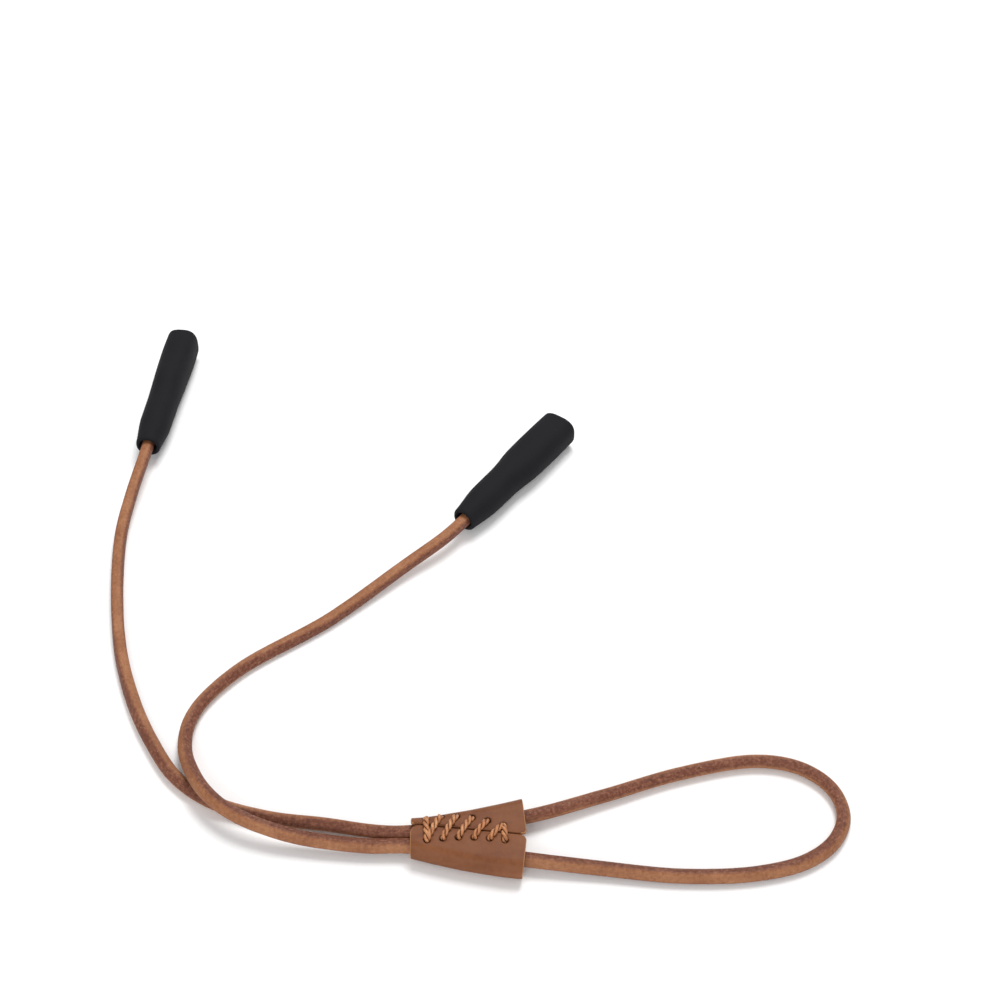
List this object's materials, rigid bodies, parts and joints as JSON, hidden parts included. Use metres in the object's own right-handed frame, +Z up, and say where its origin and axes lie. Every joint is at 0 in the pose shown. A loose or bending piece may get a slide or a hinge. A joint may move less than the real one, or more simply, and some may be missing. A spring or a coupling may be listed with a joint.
{
  "type": "eyeglass retainer strap",
  "caption": "Leather eyeglass retainer strap: a round cord doubled back through a stitched leather slide, with soft rubber sleeves that grip the temples.",
  "frame": {"origin": "middle of the slide's flat underside, on the surface that the strap lies on", "axes": "+Z up from the surface, +X along the slide from its narrow end to its wide end and the loop, +Y across the slide towards the sleeves"},
  "size_m": [0.2, 0.2006, 0.012],
  "materials": {
    "cord_leather": "smooth tan round leather cord, semi-matt",
    "slide_leather": "smooth brown leather, semi-matt",
    "waxed_thread": "waxed two-ply thread",
    "sleeve_rubber": "soft matt black silicone rubber",
    "crimp_metal": "plain steel"
  },
  "bodies": {
    "strap": {"leather_cord": "cord_leather", "left_temple_sleeve": "sleeve_rubber", "right_temple_sleeve": "sleeve_rubber", "left_cord_crimp": "crimp_metal", "right_cord_crimp": "crimp_metal"},
    "slide": {"slide_wrap": "slide_leather", "stitch_thread": "waxed_thread"}
  },
  "joints": [
    {"name": "slide_travel", "type": "slide", "parent": "strap", "child": "slide", "axis": [1, 0, 0], "range_m": [-0.007, 0]}
  ]
}
